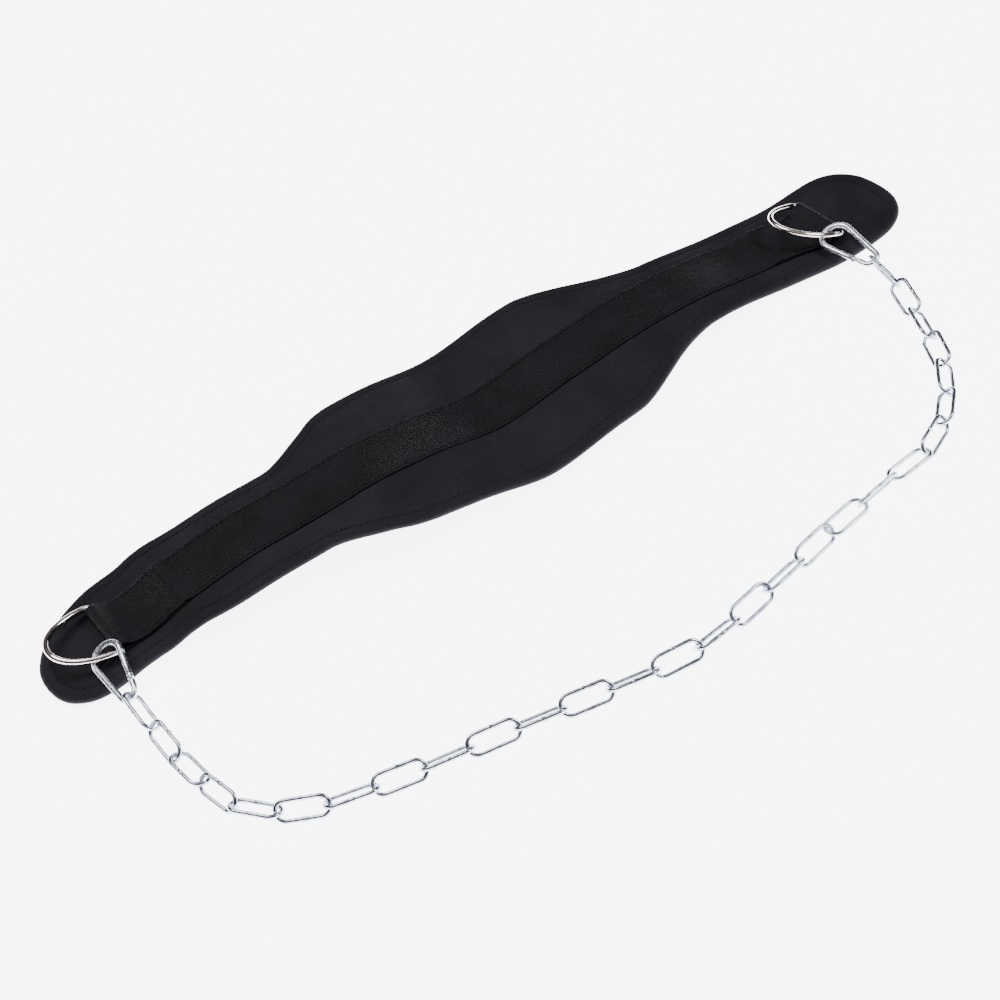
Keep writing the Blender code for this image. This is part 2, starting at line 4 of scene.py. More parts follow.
import bpy
import numpy as np
from mathutils import Euler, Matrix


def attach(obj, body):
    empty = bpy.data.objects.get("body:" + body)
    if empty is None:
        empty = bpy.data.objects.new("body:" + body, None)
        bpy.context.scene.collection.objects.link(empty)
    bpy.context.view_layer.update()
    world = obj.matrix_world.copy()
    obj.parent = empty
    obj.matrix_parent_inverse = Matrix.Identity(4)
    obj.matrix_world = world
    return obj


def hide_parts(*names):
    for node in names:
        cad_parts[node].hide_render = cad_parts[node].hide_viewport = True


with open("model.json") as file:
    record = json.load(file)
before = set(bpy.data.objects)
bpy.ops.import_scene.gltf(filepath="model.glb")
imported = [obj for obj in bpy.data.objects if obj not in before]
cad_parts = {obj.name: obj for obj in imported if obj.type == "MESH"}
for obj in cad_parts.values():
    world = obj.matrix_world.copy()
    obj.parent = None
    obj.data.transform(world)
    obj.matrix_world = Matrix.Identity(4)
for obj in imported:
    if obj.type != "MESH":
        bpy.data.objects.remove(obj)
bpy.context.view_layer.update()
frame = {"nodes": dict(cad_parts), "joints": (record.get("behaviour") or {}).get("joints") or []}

# where the photograph was taken from, in metres and degrees about X, Y and Z
view = {"place": (-0.46224, -0.93035, 0.93988), "turn": (46.956, 11.6957, -34.2849), "lens": 71.97, "sensor": 36.0}
stage = {"size": 12.0, "colour": (0.86, 0.86, 0.86), "glow": 6.5, "lift": 0.0004}
# light falls from above, and a dark band near the horizon gives the metal its contrast
sky = {"strength": 1.0, "band": ((0.0, 0.4), (0.47, 0.3), (0.52, 0.01), (0.72, 0.02), (0.86, 0.22), (1.0, 0.36))}
lamps = {
    "key": {"place": (-0.35, 0.8, 1.8), "size": 1.3, "power": 38.0, "colour": (1.0, 0.985, 0.97)},
    "side": {"place": (1.1, -0.6, 1.3), "size": 0.6, "power": 20.0, "colour": (0.93, 0.96, 1.0)},
}

# sizes in metres
pad = {"thickness": 0.007, "roll": 0.0046, "rows": 10, "edgeColumns": 18, "columns": 44, "edgeZone": 0.017,
       "binding": 0.95, "rise": 0.012, "groove": 0.0007, "grooveWidth": 0.0010, "swell": 0.0005, "swellWidth": 0.008,
       "press": 0.0009, "pressFade": 0.0018,
       "fill": 0.45}
seam = {"inset": 0.0096, "length": 0.0031, "pitch": 0.0037, "thread": 0.00032, "lift": 0.0001}
strap = {"width": 0.050, "thickness": 0.0017, "gap": 0.0003, "tail": 0.054, "hump": 0.013, "tailStep": 0.006,
         "rest": -0.0008, "turnSteps": 20, "rowStep": 0.003, "columns": 48, "edge": 0.0007}
boxStitch = {"loopSide": 0.0175, "tailSide": 0.0035, "edge": 0.0032, "double": 0.0022}
ring = {"wire": 0.0045, "inner": 0.052, "depth": 0.0428, "squareness": 2.15, "points": 130, "sides": 20, "soften": 14}
hook = {"wire": 0.0048, "wide": 0.0112, "narrow": 0.0060, "span": 0.0365, "gate": 0.0046, "gateLength": 0.0245,
        "gateDrop": 0.0030, "tail": 0.0016, "slot": 0.0024, "tongue": 0.0018, "rivet": 0.0022, "gap": 0.0003,
        "sides": 24, "collar": 0.0002}
chain = {"wire": 0.0031, "pitch": 0.032, "width": 0.0165, "endPoints": 17, "sidePoints": 22, "sides": 14,
         "weld": 0.00028, "weldWidth": 0.0009}


def nodePoints(name):
    mesh = frame["nodes"][name].data
    points = np.empty(len(mesh.vertices) * 3)
    mesh.vertices.foreach_get("co", points)
    return points.reshape(-1, 3)


def unit(vectors):
    return vectors / np.linalg.norm(vectors, axis=-1, keepdims=True)


def gridFaces(rows, columns, closeRows, closeColumns):
    index = np.arange(rows * columns).reshape(rows, columns)
    if closeRows:
        index = np.concatenate((index, index[:1]))
    if closeColumns:
        index = np.concatenate((index, index[:, :1]), axis=1)
    return np.stack((index[:-1, :-1], index[:-1, 1:], index[1:, 1:], index[1:, :-1]), axis=-1).reshape(-1, 4)


def addPiece(name, points, faces, material, nodes=(), body="belt", uv=None):
    """New smooth mesh object that rides on a body and stands for CAD nodes."""
    mesh = bpy.data.meshes.new(name)
    mesh.from_pydata(points.tolist(), [], faces.tolist())
    if uv is not None:
        layer = mesh.uv_layers.new(name="cloth")
        corner = np.empty(len(mesh.loops), dtype=np.int32)
        mesh.loops.foreach_get("vertex_index", corner)
        layer.data.foreach_set("uv", uv[corner].ravel())
    mesh.shade_smooth()
    mesh.materials.append(material)
    piece = bpy.data.objects.new(name, mesh)
    bpy.context.scene.collection.objects.link(piece)
    finishPiece(piece, nodes, body)
    return piece


def finishPiece(piece, nodes, body):
    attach(piece, body)
    if nodes:
        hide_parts(*nodes)


def tube(path, normal, radius, sides, closed):
    """Round wire: each path point plus radius times (cos a * side + sin a * normal), side across the path."""
    ahead = np.roll(path, -1, axis=0) - np.roll(path, 1, axis=0)
    if not closed:
        ahead = np.gradient(path, axis=0)
    side = unit(np.cross(unit(ahead), normal))
    angle = np.linspace(0.0, 2 * math.pi, sides, endpoint=False)[None, :, None]
    reach = np.broadcast_to(radius, len(path))[:, None, None]
    round_ = np.cos(angle) * side[:, None, :] + np.sin(angle) * np.broadcast_to(normal, side.shape)[:, None, :]
    points = path[:, None, :] + reach * round_
    return points.reshape(-1, 3), gridFaces(len(path), sides, closed, True)


def joined(parts):
    """Several (points, faces) as one."""
    start = 0
    allPoints, allFaces = [], []
    for points, faces in parts:
        allPoints.append(points)
        allFaces.append(faces + start)
        start += len(points)
    return np.concatenate(allPoints), np.concatenate(allFaces)


def smoothRows(table, steps):
    """Rows on a smooth curve through the rows of a table."""
    padded = np.concatenate(([2 * table[0] - table[1]], table, [2 * table[-1] - table[-2]]))
    t = np.linspace(0.0, 1.0, steps, endpoint=False)[None, :, None]
    a, b, c, d = (padded[k:len(padded) - 3 + k, None, :] for k in range(4))
    curve = 0.5 * (2 * b + (c - a) * t + (2 * a - 5 * b + 4 * c - d) * t ** 2 + (3 * b - a - 3 * c + d) * t ** 3)
    return np.concatenate((curve.reshape(-1, table.shape[1]), table[-1:]))


def distanceTo(points, line):
    """Distance in plan from each point to a closed line."""
    start, end = line, np.roll(line, -1, axis=0)
    along = end - start
    length = np.maximum((along ** 2).sum(axis=1), 1e-16)
    nearest = np.empty(len(points))
    for first in range(0, len(points), 4000):
        block = points[first:first + 4000, None, :] - start
        t = np.clip((block * along).sum(axis=2) / length, 0.0, 1.0)
        nearest[first:first + 4000] = np.sqrt(((block - t[..., None] * along) ** 2).sum(axis=2)).min(axis=1)
    return nearest


# --- shape of the belt, read from the frame

def padSections():
    """Rows of x, middle, half width and underside height along the CAD pad."""
    points = nodePoints("belt_pad")
    stations = np.unique(np.round(points[:, 0], 4))
    rows = []
    for x in stations:
        y = points[np.abs(points[:, 0] - x) < 0.0001, 1]
        z = points[np.abs(points[:, 0] - x) < 0.0001, 2]
        rows.append((x, (y.min() + y.max()) / 2, (y.max() - y.min()) / 2, z.min()))
    return smoothRows(np.array(rows), pad["rows"])


def strapMiddle():
    """Rows of x and middle line of the CAD strap."""
    points = nodePoints("webbing_strap")
    stations = np.unique(np.round(points[:, 0], 4))
    rows = []
    for x in stations:
        y = points[np.abs(points[:, 0] - x) < 0.00012, 1]
        if y.max() - y.min() > strap["width"] * 0.99:
            rows.append((x, (y.min() + y.max()) / 2))
    return np.array(rows)


sections = padSections()
middleLine = strapMiddle()


def strapY(x):
    return np.interp(x, middleLine[:, 0], middleLine[:, 1])


def padBase(x):
    return np.interp(x, sections[:, 0], sections[:, 3])


def outline():
    x, middle, half = sections[:, 0], sections[:, 1], sections[:, 2]
    far = np.stack((x, middle + half), axis=1)
    near = np.stack((x, middle - half), axis=1)
    return np.concatenate((near, far[::-1]))


def padTop(plan, distance):
    """Height of the pad's upper side: rolled edge, sewn groove, soft middle, swollen beside the webbing."""
    t = np.clip(distance / pad["roll"], 0.0, 1.0)
    roll = np.sqrt(1 - (1 - t) ** 2)
    inside = np.clip((distance - seam["inset"]) / pad["rise"], 0.0, 1.0)
    soft = pad["binding"] + (1 - pad["binding"]) * (3 * inside ** 2 - 2 * inside ** 3)
    groove = pad["groove"] * np.exp(-((distance - seam["inset"]) / pad["grooveWidth"]) ** 2)
    beside = np.abs(plan[:, 1] - strapY(plan[:, 0])) - strap["width"] / 2
    swell = pad["swell"] * np.exp(-((beside - pad["swellWidth"]) / pad["swellWidth"]) ** 2) * (beside > 0)
    swell *= np.clip(beside / 0.002, 0.0, 1.0) * inside
    press = pad["press"] * np.clip(0.5 - beside / pad["pressFade"], 0.0, 1.0) * inside
    return padBase(plan[:, 0]) + pad["thickness"] * (0.5 + 0.5 * roll * soft) - groove + swell - press


def makePad(material):
    """Closed skin: rows across the belt, finer towards the edges, upper side then lower side."""
    edge = outline()
    t = np.linspace(0.0, 1.0, pad["edgeColumns"])
    x, middle, half = sections[:, :1], sections[:, 1:2], sections[:, 2:3]
    zone = np.minimum(pad["edgeZone"], half * 0.45)
    inner = np.linspace(-1.0, 1.0, pad["columns"])[None, 1:-1] * (half - zone)
    rim = zone * t[None, :] ** 1.5
    across = np.concatenate((-half + rim, inner, half - rim[:, ::-1]), axis=1)
    plan = np.stack((np.broadcast_to(x, across.shape), middle + across), axis=-1)
    flat = plan.reshape(-1, 2)
    distance = distanceTo(flat, edge)
    top = padTop(flat, distance).reshape(across.shape)
    t = np.clip(distance / pad["roll"], 0.0, 1.0)
    under = pad["thickness"] * 0.5 * (1 - np.sqrt(1 - (1 - t) ** 2))
    low = (padBase(flat[:, 0]) + under).reshape(across.shape)
    upper = np.concatenate((plan, top[..., None]), axis=-1)
    lower = np.concatenate((plan, low[..., None]), axis=-1)[:, ::-1]
    loop = np.concatenate((upper, lower[:, 1:-1]), axis=1)
    faces = gridFaces(len(loop), loop.shape[1], False, True)
    piece = addPiece("pad_cover", loop.reshape(-1, 3), faces, material, ["belt_pad"])
    return piece


def stitchRow(path, normal):
    """Sewn thread: short domed tubes one after another along a path, each bowed up a little."""
    lengths = np.concatenate(([0.0], np.cumsum(np.linalg.norm(np.diff(path, axis=0), axis=1))))
    starts = np.arange(0.0, lengths[-1] - seam["length"], seam["pitch"])
    steps = np.linspace(0.0, 1.0, 6)
    parts = []
    for start in starts:
        at = start + steps * seam["length"]
        points = np.stack([np.interp(at, lengths, path[:, k]) for k in range(3)], axis=1)
        points = points + normal * (np.sin(steps * math.pi) * seam["thread"] * 1.2)[:, None]
        radius = seam["thread"] * np.array((0.25, 0.85, 1.0, 1.0, 0.85, 0.25))
        parts.append(tube(points, normal, radius, 6, False))
    return parts


def makePadStitches(material):
    edge = outline()
    ahead = unit(np.roll(edge, -1, axis=0) - np.roll(edge, 1, axis=0))
    inward = np.stack((-ahead[:, 1], ahead[:, 0]), axis=1)
    line = edge + inward * seam["inset"]
    line = line[distanceTo(line, edge) > seam["inset"] * 0.97]
    height = padTop(line, np.full(len(line), seam["inset"])) + seam["lift"]
    path = np.column_stack((line, height))
    path = np.concatenate((path, path[:1]))
    points, faces = joined(stitchRow(path, np.array((0.0, 0.0, 1.0))))
    addPiece("pad_stitching", points, faces, material)


# --- webbing

def strapEnd(barX):
    """Middle line of the webbing at its right end: distance along, height over the pad."""
    low = strap["rest"] + strap["thickness"] / 2
    layer = strap["thickness"] + strap["gap"]
    barZ = strap["gap"] * 2 + strap["thickness"] + ring["wire"] / 2
    turn = ring["wire"] / 2 + strap["gap"] + strap["thickness"] / 2
    tailEnd = barX - strap["tail"]
    tail = [(x, low) for x in np.arange(tailEnd, barX - 0.001, strap["rowStep"])]
    angle = np.linspace(-math.pi / 2, math.pi / 2, strap["turnSteps"])
    bend = [(barX + turn * math.cos(a), barZ + turn * math.sin(a)) for a in angle]
    hump = []
    for t in np.linspace(0.0, 1.0, strap["turnSteps"])[1:]:
        fall = (1 - math.cos(math.pi * t)) / 2
        hump.append((barX - strap["hump"] * t, barZ + turn + (low + layer - barZ - turn) * fall))
    over = [(x, low + layer) for x in np.arange(hump[-1][0] - 0.002, tailEnd - strap["gap"], -0.002)]
    step = []
    for t in np.linspace(0.0, 1.0, 8):
        fall = (1 - math.cos(math.pi * t)) / 2
        step.append((tailEnd - strap["gap"] - strap["tailStep"] * t, low + layer * (1 - fall)))
    return np.array(tail + bend + hump + over + step)


def strapPath(bars):
    right = strapEnd(bars["right"])
    left = strapEnd(-bars["left"])[::-1] * np.array((-1.0, 1.0))
    count = int((right[-1, 0] - left[0, 0]) / strap["rowStep"])
    x = np.linspace(right[-1, 0], left[0, 0], count)[1:-1]
    middle = np.column_stack((x, np.full(len(x), right[-1, 1])))
    path = np.concatenate((right, middle, left))
    return np.column_stack((path[:, 0], strapY(path[:, 0]), padBase(path[:, 0]) + pad["thickness"] + path[:, 1]))


def strapNormals(path):
    ahead = unit(np.gradient(path[:, [0, 2]], axis=0))
    return np.column_stack((-ahead[:, 1], np.zeros(len(path)), ahead[:, 0])) * -1


def makeStrap(material, bars):
    """Ribbon: flat oval section along the path, cloth coordinates in metres along and across it."""
    path = strapPath(bars)
    normal = strapNormals(path)
    length = np.concatenate(([0.0], np.cumsum(np.linalg.norm(np.diff(path, axis=0), axis=1))))
    half = strap["width"] / 2
    v = np.linspace(-1.0, 1.0, strap["columns"])
    across = half * np.sign(v) * (1 - (1 - np.abs(v)) ** 1.4)
    thick = strap["thickness"] / 2 * np.sqrt(np.clip(1 - ((np.abs(across) - half + strap["edge"]).clip(0) / strap["edge"]) ** 2, 0, 1))
    top = path[:, None, :] + normal[:, None, :] * thick[None, :, None]
    bottom = path[:, None, :] - normal[:, None, :] * thick[None, :, None]
    top[..., 1] += across
    bottom[..., 1] += across
    loop = np.concatenate((top, bottom[:, -2:0:-1]), axis=1)
    acrossLoop = np.concatenate((across, across[-2:0:-1]))
    uv = np.stack(np.broadcast_arrays(length[:, None], acrossLoop[None, :]), axis=-1).reshape(-1, 2)
    faces = gridFaces(len(path), loop.shape[1], False, True)
    columns = loop.shape[1]
    start = np.arange(columns)
    caps = []
    for row in (0, len(path) - 1):
        ringIndex = row * columns + start
        count = strap["columns"]
        a = ringIndex[:count - 1]
        b = ringIndex[1:count]
        opposite = np.concatenate((ringIndex[:1], ringIndex[:count - 1:-1], ringIndex[count - 1:count]))
        caps.append(np.stack((a, b, opposite[1:], opposite[:-1]), axis=1)[1:-1])
    faces = np.concatenate([faces] + caps)
    addPiece("webbing", loop.reshape(-1, 3), faces, material, ["webbing_strap"], uv=uv)


def makeStrapStitches(material, bars):
    """Boxes of stitching that hold both loops, and the two long seams that hold the webbing down."""
    up = np.array((0.0, 0.0, 1.0))
    layer = strap["thickness"] + strap["gap"]
    edge = strap["width"] / 2 - boxStitch["edge"]
    parts = []

    def line(x, y, height):
        z = padBase(x) + pad["thickness"] + height
        return np.column_stack((x, strapY(x) + y, z))

    thin = strap["rest"] + strap["thickness"]
    for side, bar in ((-1, bars["left"]), (1, bars["right"])):
        near = bar - side * boxStitch["loopSide"]
        far = bar - side * (strap["tail"] - boxStitch["tailSide"])
        for x in (near, near - side * boxStitch["double"], far, far + side * boxStitch["double"]):
            y = np.linspace(-edge, edge, 20)
            parts += stitchRow(line(np.full(20, x), y, thin + layer), up)
        x = np.linspace(near, far, 20)
        for y in (-edge, edge):
            parts += stitchRow(line(x, np.full(20, y), thin + layer), up)
    start = bars["left"] + strap["tail"] + strap["tailStep"] + 0.002
    end = bars["right"] - strap["tail"] - strap["tailStep"] - 0.002
    x = np.linspace(start, end, 400)
    for y in (-edge, edge):
        parts += stitchRow(line(x, np.full(400, y), thin), up)
    points, faces = joined(parts)
    addPiece("webbing_stitching", points, faces, material)


# --- wire parts

def softened(points, times):
    """Closed line with its corners eased."""
    for _ in range(times):
        points = points * 0.5 + (np.roll(points, 1, axis=0) + np.roll(points, -1, axis=0)) * 0.25
    return points


def evenly(points, count):
    closed = np.concatenate((points, points[:1]))
    length = np.concatenate(([0.0], np.cumsum(np.linalg.norm(np.diff(closed, axis=0), axis=1))))
    at = np.linspace(0.0, length[-1], count, endpoint=False)
    return np.stack([np.interp(at, length, closed[:, k]) for k in range(closed.shape[1])], axis=1)


def ringFrame(node):
    """Middle of the bar and the directions towards the bow, along the bar and across the ring."""
    points = nodePoints(node)
    centred = points - points.mean(axis=0)
    normal = np.linalg.svd(centred, full_matrices=False)[2][2]
    normal *= np.sign(normal[2])
    bow = unit(np.cross(np.array((0.0, 1.0, 0.0)), normal))
    bow *= -np.sign(bow[0])
    along = points @ bow
    middle = (points.min(axis=0) + points.max(axis=0)) / 2
    reach = middle @ bow
    barAlong = along.min() + ring["wire"] / 2
    return middle + bow * (barAlong - reach), bow, normal


def makeRing(name, node, material):
    centre, bow, normal = ringFrame(node)
    angle = np.linspace(-math.pi / 2, math.pi / 2, 90)
    power = 2 / ring["squareness"]
    reach = (ring["inner"] + ring["wire"]) / 2
    x = ring["depth"] * np.cos(angle).clip(0) ** power
    y = reach * np.sign(np.sin(angle)) * np.abs(np.sin(angle)) ** power
    flat = softened(evenly(np.column_stack((x, y)), ring["points"]), ring["soften"])
    path = centre + flat[:, :1] * bow + flat[:, 1:] * np.array((0.0, 1.0, 0.0))
    points, faces = tube(path, normal, ring["wire"] / 2, ring["sides"], True)
    addPiece(name, points, faces, material, [node])


def hookFrame(side):
    """Turn and place of a hook, from its gate's hinge and the way the gate lies."""
    joint = next(j for j in frame["joints"] if j["name"] == side + "_gate_hinge")
    hinge = np.array(joint["pos_m"])
    up = unit(np.array(joint["axis"]))
    gate = nodePoints("hook_" + side + "_gate")
    ahead = hinge - gate.mean(axis=0)
    ahead = unit(ahead - up * (ahead @ up))
    return hinge, up, ahead


def gateLine():
    """Nose, hinge and direction of the straight side in the hook's own plane."""
    lean = math.asin((hook["wide"] - hook["narrow"]) / hook["span"])
    start = np.array((hook["wide"] * math.cos(lean), -hook["wide"] * math.sin(lean), 0.0))
    end = np.array((hook["narrow"] * math.cos(lean), -hook["span"] - hook["narrow"] * math.sin(lean), 0.0))
    ahead = unit(end - start)
    nose = start + ahead * hook["gateDrop"]
    return nose, nose + ahead * hook["gateLength"], ahead, lean


def boxShape(centre, size, ahead):
    """Box whose second side lies along a direction in the hook's plane."""
    side = np.cross(ahead, np.array((0.0, 0.0, 1.0)))
    corner = np.array([(x, y, z) for x in (-0.5, 0.5) for y in (-0.5, 0.5) for z in (-0.5, 0.5)]) * size
    points = centre + corner[:, :1] * side + corner[:, 1:2] * ahead + corner[:, 2:] * np.array((0.0, 0.0, 1.0))
    faces = [(0, 1, 3, 2), (4, 6, 7, 5), (0, 4, 5, 1), (2, 3, 7, 6), (0, 2, 6, 4), (1, 5, 7, 3)]
    return points, np.array(faces)


def bent(name, points, faces):
    mesh = bpy.data.meshes.new(name)
    mesh.from_pydata(points.tolist(), [], faces.tolist())
    shape = bpy.data.objects.new(name, mesh)
    bpy.context.scene.collection.objects.link(shape)
    return shape


def carve(base, cuts, operation):
    """Mesh of base after Boolean steps, which removes the helpers."""
    for number, cut in enumerate(cuts):
        step = base.modifiers.new("step" + str(number), "BOOLEAN")
        step.operation = operation
        step.solver = "EXACT"
        step.object = cut
    shape = base.evaluated_get(bpy.context.evaluated_depsgraph_get())
    mesh = bpy.data.meshes.new_from_object(shape)
    for used in [base] + cuts:
        bpy.data.objects.remove(used)
    return mesh


def capped(points, faces, sides, rows):
    """Tube faces with flat ends."""
    ends = [tuple(range(sides))[::-1], tuple(range((rows - 1) * sides, rows * sides))]
    return points.tolist(), faces.tolist() + ends


def wireSolid(name, path, radius, sides):
    points, faces = tube(path, np.array((0.0, 0.0, 1.0)), radius, sides, False)
    allPoints, allFaces = capped(points, faces, sides, len(path))
    mesh = bpy.data.meshes.new(name)
    mesh.from_pydata(allPoints, [], allFaces)
    mesh.update()
    solid = bpy.data.objects.new(name, mesh)
    bpy.context.scene.collection.objects.link(solid)
    return solid


def placedHook(mesh, side, name, node, body, material):
    """Mesh in the hook's plane, set on the frame: the same hinge, axis and gate direction."""
    hinge, up, ahead = hookFrame(side)
    nose, hingeFlat, aheadFlat, lean = gateLine()
    across = np.cross(up, ahead)
    acrossFlat = np.cross(np.array((0.0, 0.0, 1.0)), aheadFlat)
    count = len(mesh.vertices)
    points = np.empty(count * 3)
    mesh.vertices.foreach_get("co", points)
    local = points.reshape(-1, 3) - hingeFlat
    world = hinge + (local @ aheadFlat)[:, None] * ahead + (local @ acrossFlat)[:, None] * across + local[:, 2:] * up
    mesh.vertices.foreach_set("co", world.ravel())
    mesh.update()
    mesh.shade_smooth()
    mesh.set_sharp_from_angle(angle=math.radians(35.0))
    mesh.materials.clear()
    mesh.materials.append(material)
    piece = bpy.data.objects.new(name, mesh)
    bpy.context.scene.collection.objects.link(piece)
    finishPiece(piece, [node], body)


def arc(centreY, radius, first, last, count):
    angle = np.radians(np.linspace(first, last, count))
    return np.column_stack((radius * np.cos(angle), centreY + radius * np.sin(angle), np.zeros(count)))


def disc(centre, radius, height, sides):
    path = centre + np.array(((0.0, 0.0, -0.5), (0.0, 0.0, 0.5))) * height
    angle = np.linspace(0.0, 2 * math.pi, sides, endpoint=False)
    circle = np.column_stack((np.cos(angle), np.sin(angle), np.zeros(sides))) * radius
    points = np.concatenate((path[0] + circle, path[1] + circle))
    faces = gridFaces(2, sides, False, True).tolist()
    faces += [tuple(range(sides))[::-1], tuple(range(sides, 2 * sides))]
    mesh = bpy.data.meshes.new("disc")
    mesh.from_pydata(points.tolist(), [], faces)
    shape = bpy.data.objects.new("disc", mesh)
    bpy.context.scene.collection.objects.link(shape)
    return shape


def makeHook(side, material):
    nose, hinge, ahead, lean = gateLine()
    leanDegrees = math.degrees(lean)
    wide = arc(0.0, hook["wide"], -leanDegrees, 180 + leanDegrees, 44)
    narrow = arc(-hook["span"], hook["narrow"], 180 + leanDegrees, 360 - leanDegrees, 32)
    wireEnd = hinge + ahead * (math.hypot(hook["gate"] / 2, hook["tail"]) + hook["gap"])
    spine = wide[-1] + (narrow[0] - wide[-1]) * np.linspace(0.0, 1.0, 14)[1:-1, None]
    path = np.concatenate(([nose], wide, spine, narrow, [wireEnd]))
    wire = wireSolid("hook_wire", path, hook["wire"] / 2, hook["sides"])
    reach = 0.0046
    parts = [
        bent("nose_tab", *boxShape(nose, (0.0024, 0.0044, hook["tongue"]), ahead)),
        bent("tongue", *boxShape(hinge + ahead * reach / 2, (0.0032, reach, hook["tongue"]), ahead)),
        disc(hinge, hook["gate"] / 2 - 0.0004, hook["tongue"] - 0.00004, 24),
        disc(hinge, hook["rivet"] / 2, hook["gate"] + hook["gap"] * 2, 24),
    ]
    body = carve(wire, parts, "UNION")
    placedHook(body, side, "snap_hook_" + side, "hook_" + side, "belt", material)

    first = nose + ahead * hook["gap"]
    last = hinge + ahead * hook["tail"]
    t = np.array((0.0, 0.02, 0.05, 0.08, 0.11, 0.5, 0.80, 0.83, 0.86, 0.89, 0.98, 1.0))
    radius = hook["gate"] / 2 + hook["collar"] * np.array((-2.0, 0.0, 0.0, 0.0, -1.5, -1.0, -1.5, 0.0, 0.0, 0.0, -0.5, -2.5))
    bar = wireSolid("gate_bar", first + (last - first) * t[:, None], radius, hook["sides"])
    slotBack = hook["tail"] + hook["gap"]
    slotFront = hook["gate"] / 2 + 0.0002
    centre = hinge + ahead * (slotBack - slotFront) / 2
    cuts = [
        bent("nose_slot", *boxShape(nose, (0.014, 0.0056, hook["slot"]), ahead)),
        bent("fork_slot", *boxShape(centre, (0.014, slotFront + slotBack, hook["slot"]), ahead)),
        disc(hinge, hook["rivet"] / 2 + hook["gap"] * 0.6, 0.014, 24),
    ]
    gate = carve(bar, cuts, "DIFFERENCE")
    placedHook(gate, side, "snap_hook_" + side + "_gate", "hook_" + side + "_gate", side + "_gate", material)


def makeLink(number, material):
    """Oval of two half rounds and two straight sides, with the weld's small collar on one side."""
    node = "link_" + str(number).zfill(2)
    points = nodePoints(node)
    centre = points.mean(axis=0)
    long_, across, normal = np.linalg.svd(points - centre, full_matrices=False)[2]
    normal = normal * np.sign(normal[2]) if abs(normal[2]) > 0.01 else normal
    across = across * (np.sign(across[2]) if abs(across[2]) > 0.01 else 1.0)
    radius = (chain["width"] - chain["wire"]) / 2
    half = (chain["pitch"] + chain["wire"]) / 2 - radius
    right = np.radians(np.linspace(-90.0, 90.0, chain["endPoints"]))
    left = right + math.pi
    side = np.linspace(half, -half, chain["sidePoints"])[1:-1]
    flat = np.concatenate((
        np.column_stack((half + radius * np.cos(right), radius * np.sin(right))),
        np.column_stack((side, np.full(len(side), radius))),
        np.column_stack((-half + radius * np.cos(left), radius * np.sin(left))),
        np.column_stack((-side, np.full(len(side), -radius))),
    ))
    path = centre + flat[:, :1] * long_ + flat[:, 1:] * across
    weldAt = np.hypot(flat[:, 0], flat[:, 1] - radius)
    bulge = chain["weld"] * np.exp(-(weldAt / chain["weldWidth"]) ** 2)
    neck = chain["weld"] * 0.5 * np.exp(-((weldAt - chain["weldWidth"] * 2.2) / chain["weldWidth"]) ** 2)
    piecePoints, faces = tube(path, normal, chain["wire"] / 2 + bulge - neck, chain["sides"], True)
    addPiece("chain_link_" + str(number).zfill(2), piecePoints, faces, material, [node])


# --- materials

def newMaterial(name, colour, roughness, metallic, specular):
    material = bpy.data.materials.new(name)
    material.use_nodes = True
    shader = material.node_tree.nodes["Principled BSDF"]
    shader.inputs["Base Color"].default_value = (*colour, 1.0)
    shader.inputs["Roughness"].default_value = roughness
    shader.inputs["Metallic"].default_value = metallic
    shader.inputs["Specular IOR Level"].default_value = specular
    return material, material.node_tree, shader


def addNode(tree, kind, values=None, links=None):
    node = tree.nodes.new(kind)
    for name, value in (values or {}).items():
        if name in node.inputs:
            node.inputs[name].default_value = value
        else:
            setattr(node, name, value)
    for name, source in (links or {}).items():
        tree.links.new(source, node.inputs[name])
    return node


def ranged(tree, source, low, high, fromLow=0.0, fromHigh=1.0):
    values = {"From Min": fromLow, "From Max": fromHigh, "To Min": low, "To Max": high}
    return addNode(tree, "ShaderNodeMapRange", values, {"Value": source}).outputs["Result"]


def tinted(tree, factor, dark, light):
    mix = addNode(tree, "ShaderNodeMix", {"data_type": "RGBA"})
    mix.inputs[6].default_value = (*dark, 1.0)
    mix.inputs[7].default_value = (*light, 1.0)
    tree.links.new(factor, mix.inputs[0])
    return mix.outputs[2]


def noise(tree, coordinate, scale, detail=2.0):
    values = {"Scale": scale, "Detail": detail}
    return addNode(tree, "ShaderNodeTexNoise", values, {"Vector": coordinate}).outputs["Fac"]


def bump(tree, height, strength, distance, normal=None):
    links = {"Height": height}
    if normal is not None:
        links["Normal"] = normal
    return addNode(tree, "ShaderNodeBump", {"Strength": strength, "Distance": distance}, links).outputs["Normal"]


neoprene = {"dark": (0.0058, 0.0051, 0.0078), "light": (0.0150, 0.0132, 0.0192), "roughness": (0.62, 0.85),
            "specular": 0.13, "sheen": 0.02, "knit": 1100.0, "patch": 22.0}
webbingLook = {"dark": (0.0012, 0.0012, 0.0020), "light": (0.0150, 0.0146, 0.0192), "roughness": (0.55, 0.9),
               "specular": 0.12, "rib": 0.0046, "weft": 0.0032}
nickelLook = {"dark": (0.56, 0.49, 0.46), "light": (0.80, 0.73, 0.70), "roughness": (0.06, 0.15)}
zincLook = {"dark": (0.26, 0.28, 0.35), "light": (0.56, 0.60, 0.69), "roughness": (0.12, 0.28)}
hookLook = {"dark": (0.50, 0.53, 0.60), "light": (0.80, 0.84, 0.92), "roughness": (0.18, 0.36)}
threadLook = {"dark": (0.004, 0.004, 0.0052), "light": (0.012, 0.012, 0.015), "roughness": (0.5, 0.75)}


